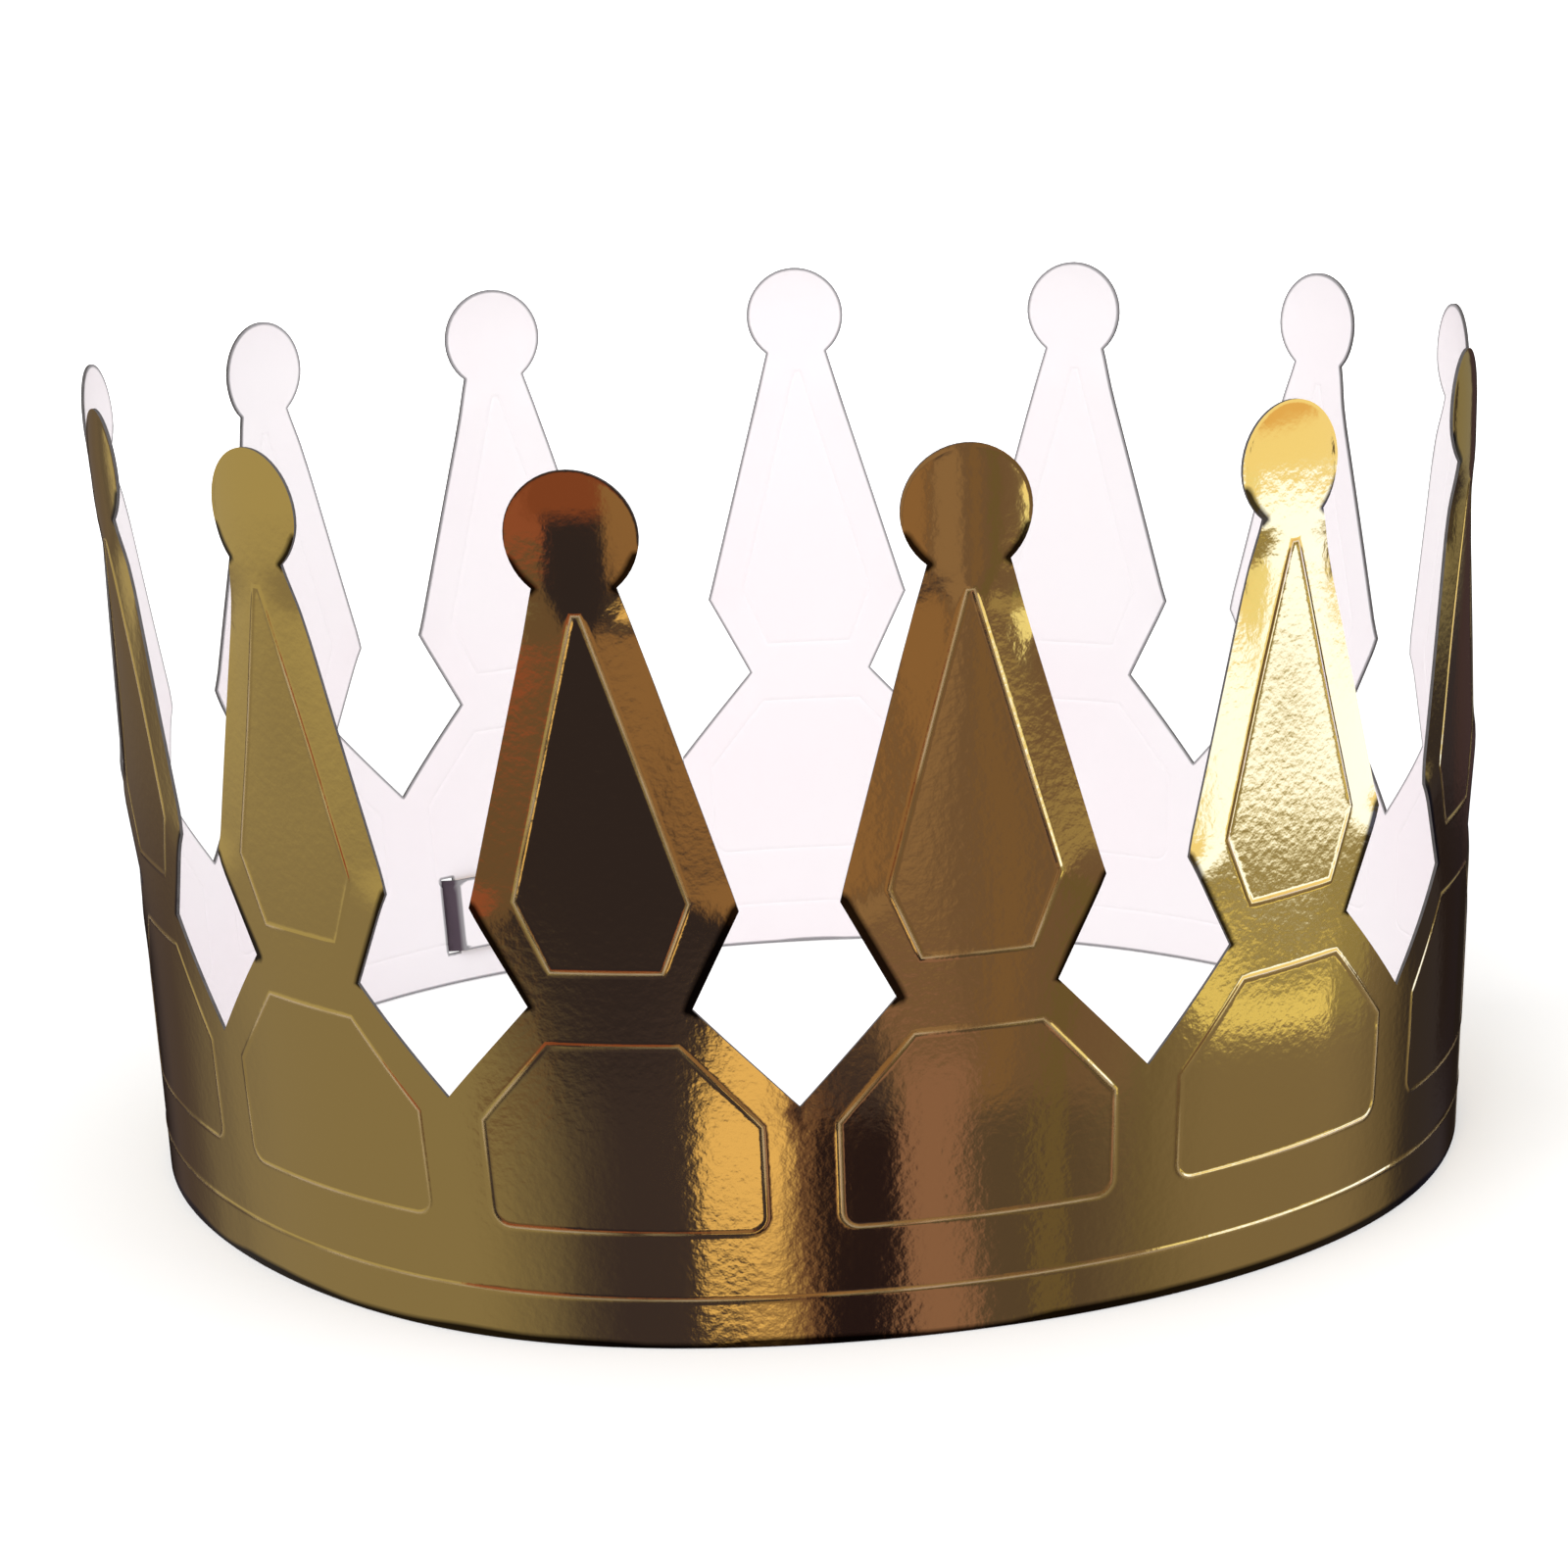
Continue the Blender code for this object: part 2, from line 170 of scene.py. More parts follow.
def crested(spots, width, line_fade):
    """How near each spot of a point is to a pressed line's crest, from 1 on it to 0 beside it."""
    from_loops = np.minimum(away(spots, KITE_LOOP), away(spots, HOUSE_LOOP))
    from_band_line = abs(spots[:, 1] - BAND_LINE_HEIGHT)
    loops, band_line = (0.5 + 0.5 * np.cos(math.pi * np.clip(2 * distance / width, 0, 1))
                        for distance in (from_loops, from_band_line))
    return np.maximum(loops, band_line * line_fade)


def pressed_out(spots, line_fade=1.0):
    """How far the press pushes each spot of a point out, measured from the point's axis."""
    out = RIDGE_HEIGHT * crested(spots, RIDGE_WIDTH, line_fade)
    # The dome runs out softly down the neck and between the kite's sides
    rise = spots[:, 1] - BALL_HEIGHT
    from_ball = np.hypot(spots[:, 0], np.maximum(rise, 0)) / DOME_RADIUS
    out = out + DOME_HEIGHT * (1 - smooth(-rise / DOME_TAIL)) * np.clip(1 - from_ball ** 2, 0, 1)
    # The card outside the kite's long sides falls back towards its cut edge
    tip, corner = np.array(KITE[0]), np.array(KITE[1])
    side = (tip - corner) / np.linalg.norm(tip - corner)
    mirrored_spots = np.stack((abs(spots[:, 0]), spots[:, 1]), 1)
    outside = (mirrored_spots - corner) @ np.array((side[1], -side[0]))
    fade = smooth((spots[:, 1] - SHOULDER_HEIGHT + BORDER_FADE / 2) / BORDER_FADE)
    fade = fade * smooth((NECK_HEIGHT - spots[:, 1]) / BORDER_FADE)
    return out - BORDER_SLOPE * fade * np.clip(outside, 0, None)


def point_edge(axis):
    """One point's cut edge from its left valley over the ball to its right waist."""
    ball = arc((axis, BALL_HEIGHT), BALL_RADIUS, 1.5 * math.pi - NECK_ANGLE,
               NECK_ANGLE - math.pi / 2, BALL_STEPS)
    left = [(axis - POINT_PITCH / 2, VALLEY_HEIGHT), (axis - WAIST_WIDTH / 2, WAIST_HEIGHT),
            (axis - SHOULDER_WIDTH / 2, SHOULDER_HEIGHT)]
    return left + ball + [(2 * axis - along, height) for along, height in reversed(left[1:])]


def nearest_of(lines):
    """Gives each spot its way to the nearest of several open lines."""
    return lambda spots: np.min([away(spots, line, closed=False) for line in lines], axis=0)


def flat_sheet(name, edge, holes, loops, lines, marks):
    """A triangulated flat sheet, X along the strip and Z up, with its marks as attributes."""
    spots, joins = [], []
    for loop in [edge] + holes + loops:
        first = len(spots)
        spots += loop
        joins += [(first + step, first + (step + 1) % len(loop)) for step in range(len(loop))]
    for line in lines:
        first = len(spots)
        spots += line
        joins += [(first + step, first + step + 1) for step in range(len(line) - 1)]
    corners = np.array(edge)
    low, high = corners.min(0), corners.max(0)
    rows = np.arange(low[1], high[1], MESH_STEP * math.sqrt(3) / 2)
    grid = np.array([(along + (row % 2) * MESH_STEP / 2, height) for row, height in enumerate(rows)
                     for along in np.arange(low[0], high[0], MESH_STEP)])
    free = within(grid, edge)
    for outline in [edge] + holes + loops:
        free &= away(grid, outline) > GRID_CLEARANCE
    for line in lines:
        free &= away(grid, line, closed=False) > GRID_CLEARANCE
    spots += [tuple(spot) for spot in grid[free]]
    found = delaunay_2d_cdt([Vector(spot) for spot in spots], joins, [], 0, WELD)
    places = np.array([tuple(place) for place in found[0]])
    triangles = np.array(found[2])
    middles = places[triangles].mean(1)
    kept = within(middles, edge)
    for hole in holes:
        kept &= ~within(middles, hole)
    triangles = triangles[kept]
    used = np.unique(triangles)
    order = np.zeros(len(places), int)
    order[used] = np.arange(len(used))
    places = places[used]
    mesh = bpy.data.meshes.new(name)
    standing = np.insert(places, 1, 0.0, axis=1)
    mesh.from_pydata(standing.tolist(), [], order[triangles][:, ::-1].tolist())
    if mesh.polygons[0].normal.y > 0:
        mesh.flip_normals()
    for label in ("lift", "crest", "rim", "under"):
        values = marks[label](places) if label in marks else np.zeros(len(places))
        stored = mesh.attributes.new(label, "FLOAT", "POINT")
        stored.data.foreach_set("value", values.astype(np.float32))
    sheet = bpy.data.objects.new(name, mesh)
    bpy.context.scene.collection.objects.link(sheet)
    return sheet


def point_lines(axis):
    """The lines that a point's facets follow: across each pressed line, and round the dome."""
    loops = []
    for crest in (KITE_LOOP, HOUSE_LOOP):
        for side in RIDGE_SIDES:
            loop = [(axis + along, height) for along, height in inset(crest, side)]
            loops.append(stepped(loop, True))
    for share in DOME_LOOP_SHARES:
        count = 2 * math.pi * share * DOME_RADIUS / MESH_STEP * DOME_LOOP_FINENESS
        count = max(8, round(count))
        loops.append(arc((axis, BALL_HEIGHT), share * DOME_RADIUS, 0, 2 * math.pi, count)[:-1])
    return loops


# Painted shade under a ball ends at this angle from its middle, and starts this much thinner
BALL_SHADE_TOP = -0.35
BALL_SHADE_START = 0.0003


def shade_distance(axis, foot):
    """How far each spot is from the foot and the edges that look down, which the foil takes as
    painted shade.
    """
    shoulders, balls = [], []
    for side in (-1, 1):
        shoulders.append([(axis + side * SHOULDER_WIDTH / 2, SHOULDER_HEIGHT),
                          (axis + side * WAIST_WIDTH / 2, WAIST_HEIGHT)])
        ball = arc((0, BALL_HEIGHT), BALL_RADIUS, NECK_ANGLE - math.pi / 2, BALL_SHADE_TOP, 10)
        balls.append([(axis + side * along, height) for along, height in ball])
    from_foot, from_balls = nearest_of(shoulders + [foot]), nearest_of(balls)
    return lambda spots: np.minimum(from_foot(spots), from_balls(spots) + BALL_SHADE_START)


def band_lines(start, end):
    """The facet lines across the long line near the lower edge."""
    return [stepped([(start, BAND_LINE_HEIGHT + side), (end, BAND_LINE_HEIGHT + side)])
            for side in RIDGE_SIDES]


# One point with its share of the band, cut where its neighbours meet it
TONGUE_FOOT, TONGUE_TOP = 0.0058, 0.0185
seam_heights = [*np.linspace(0, VALLEY_HEIGHT, 21), *(BAND_LINE_HEIGHT + RIDGE_SIDES)]
seam_heights = sorted(set(np.round(seam_heights + [TONGUE_FOOT, TONGUE_TOP], 7)))
axis = POINT_PITCH / 2
foot = stepped([(POINT_PITCH, 0.0), (0.0, 0.0)])
left_seam = [(0.0, height) for height in seam_heights]
right_seam = [(POINT_PITCH, height) for height in reversed(seam_heights)]
upper = stepped(point_edge(axis) + [(POINT_PITCH, VALLEY_HEIGHT)])
point_loop = left_seam + upper[1:] + right_seam[1:] + foot[1:-1]
marks = {"lift": lambda spots: pressed_out(spots - (axis, 0)),
         "crest": lambda spots: crested(spots - (axis, 0), CREST_WIDTH, 1.0),
         "rim": nearest_of([upper, foot]),
         "under": shade_distance(axis, foot)}
loops = point_lines(axis) + [inset(point_loop, RIM_WIDTH)]
plain_point = flat_sheet("plain_point", point_loop, [], loops, band_lines(0.0, POINT_PITCH), marks)

# The two ends of the strip
# The first point carries a lap on its outer side and an upright slit. The last point ends in a
# tongue that runs behind the first panel and comes out through the slit.
JOINT_SPREAD = 0.0056
LAP_LENGTH = 0.0280
LAP_TOP = VALLEY_HEIGHT - 0.0060
LAP_CORNER = 0.0030
SLIT_PLACE = POINT_PITCH / 2 + 0.0162
SLIT_HALF_WIDTH = 0.0011
SLIT_PLAY = 0.0004
SLIT_FOOT, SLIT_TOP = TONGUE_FOOT - SLIT_PLAY, TONGUE_TOP + SLIT_PLAY
RING_GIRTH = STRIP_LENGTH + JOINT_SPREAD
TONGUE_CROSSING = RING_GIRTH + SLIT_PLACE
CROSSING_LENGTH = 0.0024
TONGUE_CREASE = 0.0017
TONGUE_TAIL = 0.0100
TONGUE_TIP = TONGUE_CROSSING + TONGUE_TAIL
TONGUE_CORNER = 0.0035
LAYER_GAP = 0.00065
LAYER_STEP = CARD_THICKNESS + LAYER_GAP
CORNER_STEPS = 8

lap_turn = LAP_CORNER - LAP_LENGTH
lap = arc((lap_turn, LAP_CORNER), LAP_CORNER, -math.pi / 2, -math.pi, CORNER_STEPS)
lap += arc((lap_turn, LAP_TOP - LAP_CORNER), LAP_CORNER, math.pi, math.pi / 2, CORNER_STEPS)
lap_edge = stepped([(POINT_PITCH, 0.0), (0.0, 0.0)] + lap + point_edge(axis)
                   + [(POINT_PITCH, VALLEY_HEIGHT)])
slit_left, slit_right = SLIT_PLACE - SLIT_HALF_WIDTH, SLIT_PLACE + SLIT_HALF_WIDTH
slit = stepped([(slit_left, SLIT_FOOT), (slit_right, SLIT_FOOT), (slit_right, SLIT_TOP),
                (slit_left, SLIT_TOP)], True)


def lap_fade(spots):
    """The lap keeps only the long line, which dies out towards its end."""
    return np.clip(np.where(spots[:, 0] < 0, 1 + spots[:, 0] / LAP_LENGTH, 1.0), 0, 1)


first_loop = lap_edge + right_seam[1:-1]
marks = {"lift": lambda spots: pressed_out(spots - (axis, 0), lap_fade(spots)),
         "crest": lambda spots: crested(spots - (axis, 0), CREST_WIDTH, lap_fade(spots)),
         "rim": nearest_of([lap_edge, slit + slit[:1]]),
         "under": shade_distance(axis, [(-LAP_LENGTH, 0.0), (POINT_PITCH, 0.0)])}
loops = point_lines(axis) + [inset(first_loop, RIM_WIDTH), inset(slit, -RIM_WIDTH)]
first_point = flat_sheet("first_point", first_loop, [slit], loops,
                         band_lines(-LAP_LENGTH, POINT_PITCH), marks)

tongue_root = [(STRIP_LENGTH, height) for height in seam_heights
               if TONGUE_FOOT <= height <= TONGUE_TOP]
tongue_edge = arc((TONGUE_TIP - TONGUE_CORNER, TONGUE_TOP - TONGUE_CORNER), TONGUE_CORNER,
                  math.pi / 2, 0, CORNER_STEPS)
tongue_edge += arc((TONGUE_TIP - TONGUE_CORNER, TONGUE_FOOT + TONGUE_CORNER), TONGUE_CORNER,
                   0, -math.pi / 2, CORNER_STEPS)
tongue_rim = stepped([(STRIP_LENGTH, TONGUE_TOP)] + tongue_edge + [(STRIP_LENGTH, TONGUE_FOOT)])
tongue_loop = tongue_rim + tongue_root[1:-1]
crease_ends = TONGUE_FOOT + RIM_WIDTH, TONGUE_TOP - RIM_WIDTH
creases = [[(TONGUE_CROSSING + side, height) for height in crease_ends]
           for side in (-TONGUE_CREASE, TONGUE_CREASE)]
# Between its creases, where it passes through the slit, the tongue counts as past its rim, so its
# card is painted dark there as the slit's shadow
marks = {"rim": lambda spots: np.minimum(nearest_of([tongue_rim])(spots),
                                         abs(spots[:, 0] - TONGUE_CROSSING) - TONGUE_CREASE),
         "under": lambda spots: np.ones(len(spots))}
tongue = flat_sheet("tongue", tongue_loop, [], [inset(tongue_loop, RIM_WIDTH)], creases, marks)

# The ring
# The strip is bent round a head and stays an uneven oval, tighter at the sides than at the front.
# It flares outwards, and each point leans in or out a little more than the band under it.
BEND_SHARES = (0.56, 0.95, 1.15, 0.86, 0.68, 1.19, 0.68, 0.84, 1.24, 1.00, 1.22, 0.92, 0.87)
FRONT_PLACE = POINT_COUNT // 2 * POINT_PITCH
FRONT_HEADING = math.radians(1.5)
POINT_LEANS = (-3.7, -3.0, 1.8, 0.6, -1.6, -1.2, -4.6, -4.2, -1.9, -1.2, -0.2, -2.0, 1.4)
RING_SAMPLES = 2600

along = np.linspace(0.0, RING_GIRTH, RING_SAMPLES + 1)
ring_step = RING_GIRTH / RING_SAMPLES
station = along / RING_GIRTH * len(BEND_SHARES)
below = np.minimum(station.astype(int), len(BEND_SHARES) - 1)
mix = 0.5 - 0.5 * np.cos(math.pi * (station - below))
shares = np.array(BEND_SHARES + BEND_SHARES[:1])
tightness = shares[below] * (1 - mix) + shares[below + 1] * mix
turn = 2 * math.pi * along / RING_GIRTH


def trace(mend):
    """The ring's heading and line for a small change of bend, and by how much its ends miss."""
    bend = tightness + mend[0] + mend[1] * np.cos(turn) + mend[2] * np.sin(turn)
    rate = 2 * math.pi / RING_GIRTH * bend
    heading = np.concatenate(([0.0], np.cumsum((rate[1:] + rate[:-1]) / 2 * ring_step)))
    middle = (heading[1:] + heading[:-1]) / 2
    line = np.zeros((RING_SAMPLES + 1, 2))
    line[1:] = np.cumsum(np.stack((np.cos(middle), np.sin(middle)), 1) * ring_step, 0)
    miss = np.array((heading[-1] - 2 * math.pi, *(line[-1] / RING_GIRTH)))
    return heading, line, miss


# Mend the bend until the ring closes
TRIAL = 1e-4
mend = np.zeros(3)
for _ in range(6):
    miss = trace(mend)[2]
    slopes = np.stack([(trace(mend + TRIAL * change)[2] - miss) / TRIAL for change in np.eye(3)], 1)
    mend = mend - np.linalg.solve(slopes, miss)
heading, line, _ = trace(mend)
swing = FRONT_HEADING - np.interp(FRONT_PLACE, along, heading)
spin = np.array(((math.cos(swing), math.sin(swing)), (-math.sin(swing), math.cos(swing))))
line = line @ spin

# The band's flare in degrees, and how it changes once and twice round the ring
BAND_LEAN, SIDE_LEAN, OVAL_LEAN = 4.1, 0.9, 2.5
round_turn = 2 * math.pi * (along - FRONT_PLACE) / RING_GIRTH
band_lean = np.radians(BAND_LEAN + SIDE_LEAN * np.sin(round_turn)
                       + OVAL_LEAN * np.cos(2 * round_turn))
point_at = np.minimum((along / POINT_PITCH).astype(int), POINT_COUNT - 1)
axis_lean = np.interp((point_at + 0.5) * POINT_PITCH, along, band_lean)
axis_lean = axis_lean + np.radians(POINT_LEANS)[point_at]

ring_mesh = bpy.data.meshes.new("ring_line")
ring_mesh.from_pydata(np.insert(line, 2, 0.0, axis=1).tolist(),
                      [(index, index + 1) for index in range(RING_SAMPLES)], [])
for label, values in (("band_lean", band_lean), ("point_lean", axis_lean)):
    stored = ring_mesh.attributes.new(label, "FLOAT", "POINT")
    stored.data.foreach_set("value", values.astype(np.float32))
ring_line = bpy.data.objects.new("ring_line", ring_mesh)
bpy.context.scene.collection.objects.link(ring_line)

# The foil face
# A mirror-bright gold laminate over the card. Pressing leaves it with a fine leathery grain and
# soft waves that break up what it reflects. The crests are painted paler in patches, partly rubbed
# foil and partly painted highlight; the low edges and those that look down are painted dark as
# shade.
FOIL_COLOR = (0.91, 0.65, 0.20, 1.0)
FOIL_ROUGHNESS = 0.08
LEAST_ROUGHNESS, MOST_ROUGHNESS = FOIL_ROUGHNESS - 0.03, FOIL_ROUGHNESS + 0.04
ROUGHNESS_PATCH = 0.02
GRAIN_SIZE, GRAIN_DEPTH = 0.0012, 0.000025
WAVE_SIZE, WAVE_DEPTH = 0.014, 0.00022
WAVE_STRETCH = (1.0, 1.0, 0.35)
# The waves are full in the band and weaker in the stiffer points
WAVE_HEIGHTS, WAVE_STRENGTHS = (0.030, 0.055), (1.0, 0.3)
# Crest patches painted paler: partly rubbed foil, partly painted highlight
WORN_SHEEN_COLOR = (0.54, 0.40, 0.30, 1.0)
WORN_SHEEN_PATCH, WORN_SHEEN_NOISE, WORN_SHEEN_MOST = 0.016, (0.42, 0.60), 0.8
WORN_SHEEN_METALLIC = 0.35
# Painted shade on the low edges and those that look down, and at the foot a painted reflection of
# the contact shadow
PAINTED_SHADE_COLOR = (0.05, 0.033, 0.012, 1.0)
PAINTED_SHADE_PATCH, PAINTED_SHADE_NOISE, PAINTED_SHADE_MORE = 0.030, (0.40, 0.56), 0.0006
PAINTED_SHADE_EDGE = (0.0003, 0.0010)


def new_material(name, color, roughness, metallic):
    """A material with its nodes, its links and its shader."""
    material = bpy.data.materials.new(name)
    material.use_nodes = True
    nodes, links = material.node_tree.nodes, material.node_tree.links
    shader = nodes["Principled BSDF"]
    shader.inputs["Base Color"].default_value = color
    shader.inputs["Roughness"].default_value = roughness
    shader.inputs["Metallic"].default_value = metallic
    material.diffuse_color = color
    return material, nodes, links, shader


def add_noise(nodes, links, vector, size, detail):
    """Soft noise whose cells are about size metres across."""
    noise = nodes.new("ShaderNodeTexNoise")
    noise.inputs["Scale"].default_value = 1 / size
    noise.inputs["Detail"].default_value = detail
    links.new(vector, noise.inputs["Vector"])
    return noise.outputs["Fac"]


def add_range(nodes, links, value, before, after):
    """A value carried from one range to another, kept within its ends."""
    node = nodes.new("ShaderNodeMapRange")
    for label, number in zip(("From Min", "From Max", "To Min", "To Max"), (*before, *after)):
        node.inputs[label].default_value = number
    links.new(value, node.inputs["Value"])
    return node.outputs["Result"]


def add_mix(nodes, links, share, first, second):
    """A mix of two colors, each a plain color or a socket."""
    node = nodes.new("ShaderNodeMix")
    node.data_type = "RGBA"
    links.new(share, node.inputs["Factor"])
    for socket, color in ((node.inputs[6], first), (node.inputs[7], second)):
        if isinstance(color, bpy.types.NodeSocket):
            links.new(color, socket)
        else:
            socket.default_value = color
    return node.outputs[2]


def add_bump(nodes, links, height, distance, previous=None):
    """A normal disturbed by a height, on top of an earlier one if given."""
    bump = nodes.new("ShaderNodeBump")
    bump.inputs["Distance"].default_value = distance
    links.new(height, bump.inputs["Height"])
    if previous:
        links.new(previous, bump.inputs["Normal"])
    return bump.outputs["Normal"]


def add_math(nodes, links, operation, first, second):
    """A calculation on two sockets."""
    node = nodes.new("ShaderNodeMath")
    node.operation = operation
    links.new(first, node.inputs[0])
    links.new(second, node.inputs[1])
    return node.outputs["Value"]


def add_mark(nodes, label):
    """A value that the flat sheet carries."""
    node = nodes.new("ShaderNodeAttribute")
    node.attribute_name = label
    return node.outputs["Fac"]


foil, nodes, links, shader = new_material("gold_foil", FOIL_COLOR, FOIL_ROUGHNESS, 1.0)
place = nodes.new("ShaderNodeTexCoord").outputs["Object"]
grain = add_noise(nodes, links, place, GRAIN_SIZE, 2.0)
stretch = nodes.new("ShaderNodeMapping")
stretch.inputs["Scale"].default_value = WAVE_STRETCH
links.new(place, stretch.inputs["Vector"])
wave = add_noise(nodes, links, stretch.outputs["Vector"], WAVE_SIZE, 1.0)
level = nodes.new("ShaderNodeSeparateXYZ")
links.new(place, level.inputs["Vector"])
normal = add_bump(nodes, links, wave, WAVE_DEPTH)
links.new(add_range(nodes, links, level.outputs["Z"], WAVE_HEIGHTS, WAVE_STRENGTHS),
          normal.node.inputs["Strength"])
normal = add_bump(nodes, links, grain, GRAIN_DEPTH, normal)
links.new(normal, shader.inputs["Normal"])
rub = add_noise(nodes, links, place, ROUGHNESS_PATCH, 3.0)
rub = add_range(nodes, links, rub, (0.0, 1.0), (LEAST_ROUGHNESS, MOST_ROUGHNESS))
links.new(rub, shader.inputs["Roughness"])

# Here and there the crests are painted paler and less metallic: partly rubbed foil, partly painted
# highlight where the pressed lines catch the light
patches = add_noise(nodes, links, place, WORN_SHEEN_PATCH, 2.0)
patches = add_range(nodes, links, patches, WORN_SHEEN_NOISE, (0.0, WORN_SHEEN_MOST))
worn_sheen = add_math(nodes, links, "MULTIPLY", add_mark(nodes, "crest"), patches)
metal = add_range(nodes, links, worn_sheen, (0.0, 1.0), (1.0, WORN_SHEEN_METALLIC))
links.new(metal, shader.inputs["Metallic"])
color = add_mix(nodes, links, worn_sheen, FOIL_COLOR, WORN_SHEEN_COLOR)

# The lowest rim and the edges that look down are painted dark: painted shade, and at the foot a
# painted reflection of the table's contact shadow
thick = add_noise(nodes, links, place, PAINTED_SHADE_PATCH, 1.0)
thick = add_range(nodes, links, thick, PAINTED_SHADE_NOISE, (0.0, PAINTED_SHADE_MORE))
near = add_math(nodes, links, "SUBTRACT", add_mark(nodes, "under"), thick)
painted_shade = add_range(nodes, links, near, PAINTED_SHADE_EDGE, (0.0, 1.0))
links.new(add_mix(nodes, links, painted_shade, PAINTED_SHADE_COLOR, color), shader.inputs["Base Color"])

# The inside and the cut edge
# The card's back is plain white and matt, with a faint pink tint in places. The die leaves a grey
# rim round it, widened by the joint's foot with painted shadow between the layers, and the tongue's
# card in the slit is painted dark as shadow. The cut shows the dark foil and the card's grey core.
CARD_COLOR = (0.93, 0.92, 0.925, 1.0)
CARD_TINT = (0.93, 0.845, 0.875, 1.0)
CARD_ROUGHNESS, TINT_PATCH = 0.55, 0.05
FIBRE_SIZE, FIBRE_DEPTH = 0.0006, 0.00001
BURR_AND_SHADOW_COLOR = (0.30, 0.29, 0.30, 1.0)
BURR_AND_SHADOW_EDGE = (0.00022, 0.00052)
# By the joint's foot the grey rim widens as painted shadow between the layers
JOINT_FOOT = (0.0025, 0.1000, 0.0)
JOINT_SHADOW_REACH, JOINT_SHADOW = (0.009, 0.014), 0.0006
# The tongue's card where it passes through the slit, painted dark as the slit's shadow
SLIT_SHADOW_COLOR = (0.075, 0.05, 0.07, 1.0)
SLIT_SHADOW_EDGE = (-0.0006, 0.0)
EDGE_COLOR = (0.15, 0.145, 0.145, 1.0)
EDGE_DARK, EDGE_LIGHT = (0.06, 0.055, 0.055, 1.0), (0.14, 0.13, 0.13, 1.0)
EDGE_ROUGHNESS, EDGE_FLECK = 0.7, 0.0015

card, nodes, links, shader = new_material("white_card", CARD_COLOR, CARD_ROUGHNESS, 0.0)
place = nodes.new("ShaderNodeTexCoord").outputs["Object"]
fibre = add_noise(nodes, links, place, FIBRE_SIZE, 4.0)
links.new(add_bump(nodes, links, fibre, FIBRE_DEPTH), shader.inputs["Normal"])
tint = add_noise(nodes, links, place, TINT_PATCH, 2.0)
color = add_mix(nodes, links, tint, CARD_COLOR, CARD_TINT)
rim = add_mark(nodes, "rim")
from_joint = nodes.new("ShaderNodeVectorMath")
from_joint.operation = "DISTANCE"
from_joint.inputs[1].default_value = JOINT_FOOT
links.new(place, from_joint.inputs[0])
# Near the joint's foot the rim widens: painted shadow between the overlapping layers
joint_shadow = add_range(nodes, links, from_joint.outputs["Value"], JOINT_SHADOW_REACH, (JOINT_SHADOW, 0.0))
rim_and_shadow = add_math(nodes, links, "SUBTRACT", rim, joint_shadow)
burr_and_shadow = add_range(nodes, links, rim_and_shadow, BURR_AND_SHADOW_EDGE, (0.0, 1.0))
color = add_mix(nodes, links, burr_and_shadow, BURR_AND_SHADOW_COLOR, color)
# Painted shadow in the slit, over the tongue between its creases
slit_shadow = add_range(nodes, links, rim, SLIT_SHADOW_EDGE, (0.0, 1.0))
links.new(add_mix(nodes, links, slit_shadow, SLIT_SHADOW_COLOR, color), shader.inputs["Base Color"])

edge, nodes, links, shader = new_material("cut_edge", EDGE_COLOR, EDGE_ROUGHNESS, 0.0)
place = nodes.new("ShaderNodeTexCoord").outputs["Object"]
fleck = add_noise(nodes, links, place, EDGE_FLECK, 3.0)
links.new(add_mix(nodes, links, fleck, EDGE_DARK, EDGE_LIGHT), shader.inputs["Base Color"])

# Bending the strip
# The points are set out along the strip, joined to its two ends, bent round the ring, and only then
# given the card's thickness, so that every layer keeps it.
ROOT_BEND_HEIGHT = 0.018
POINT_FLATNESS = 0.5
# Where the end of the strip steps in by one layer
STEP_START, STEP_END = (STRIP_LENGTH - share * POINT_PITCH for share in (0.95, 0.60))
JOIN_DISTANCE, SHELL_JOIN_DISTANCE = 0.00001, 0.000002
SHARP_ANGLE = 0.9

tree = bpy.data.node_groups.new("bent_strip", "GeometryNodeTree")
INPUTS = {
    "Plain Point": ("NodeSocketObject", plain_point),
    "Tongue": ("NodeSocketObject", tongue),
    "Ring Line": ("NodeSocketObject", ring_line),
    "Plain Points": ("NodeSocketInt", POINT_COUNT - 1),
    "Pitch": ("NodeSocketFloat", POINT_PITCH),
    "Strip Length": ("NodeSocketFloat", STRIP_LENGTH),
    "Ring Girth": ("NodeSocketFloat", RING_GIRTH),
    "Valley Height": ("NodeSocketFloat", VALLEY_HEIGHT),
    "Shoulder Rise": ("NodeSocketFloat", SHOULDER_HEIGHT - VALLEY_HEIGHT),
    "Root Bend Height": ("NodeSocketFloat", ROOT_BEND_HEIGHT),
    "Point Flatness": ("NodeSocketFloat", POINT_FLATNESS),
    "Layer Step": ("NodeSocketFloat", LAYER_STEP),
    "Step Start": ("NodeSocketFloat", STEP_START),
    "Step End": ("NodeSocketFloat", STEP_END),
    "Crossing Start": ("NodeSocketFloat", TONGUE_CROSSING - CROSSING_LENGTH / 2),
    "Crossing End": ("NodeSocketFloat", TONGUE_CROSSING + CROSSING_LENGTH / 2),
    "Card Thickness": ("NodeSocketFloat", CARD_THICKNESS),
    "Foil": ("NodeSocketMaterial", foil),
    "Card": ("NodeSocketMaterial", card),
    "Cut Edge": ("NodeSocketMaterial", edge),
}
tree.interface.new_socket("Geometry", in_out="INPUT", socket_type="NodeSocketGeometry")
for label, (kind, _) in INPUTS.items():
    tree.interface.new_socket(label, in_out="INPUT", socket_type=kind)
tree.interface.new_socket("Geometry", in_out="OUTPUT", socket_type="NodeSocketGeometry")
